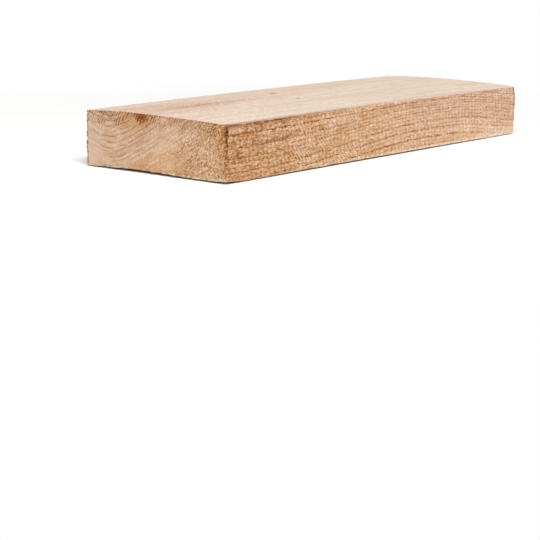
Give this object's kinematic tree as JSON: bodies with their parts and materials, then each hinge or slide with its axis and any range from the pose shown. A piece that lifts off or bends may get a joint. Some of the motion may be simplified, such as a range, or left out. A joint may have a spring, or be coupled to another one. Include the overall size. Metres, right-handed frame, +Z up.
{
  "type": "sawn wooden board",
  "caption": "Short length of rough sawn softwood board, cut square at both ends, slightly cupped and bowed from drying.",
  "frame": {"origin": "centre of the bounding box on the level floor under the board", "axes": "+X along the board's length, +Y across its width, +Z up through its thickness, with the crown of the cup upwards"},
  "size_m": [0.43, 0.15, 0.0487],
  "materials": {
    "sawn_wood": "rough sawn, unfinished"
  },
  "bodies": {
    "root": {"board": "sawn_wood"}
  },
  "joints": []
}
